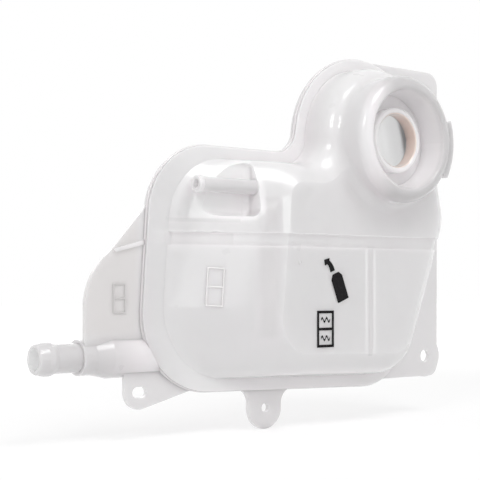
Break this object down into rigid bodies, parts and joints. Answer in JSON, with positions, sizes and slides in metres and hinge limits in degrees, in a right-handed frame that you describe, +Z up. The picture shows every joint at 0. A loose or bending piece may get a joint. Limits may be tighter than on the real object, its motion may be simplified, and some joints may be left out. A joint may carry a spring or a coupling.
{
  "type": "coolant expansion tank",
  "caption": "Flat translucent engine coolant tank of two welded halves: a round filler housing, a hose stub, a bleed nipple in a pocket and a flange with mounting ears.",
  "frame": {"origin": "centre of the side bolt hole, on the plane where the two halves are welded", "axes": "+Z up as fitted, -Y the way the filler neck faces, +X from the hose stub to the side bolt hole"},
  "size_m": [0.325, 0.072, 0.2457],
  "materials": {
    "natural_plastic": "translucent natural polypropylene, satin gloss"
  },
  "bodies": {
    "root": {"front_shell": "natural_plastic", "rear_shell": "natural_plastic"}
  },
  "joints": []
}
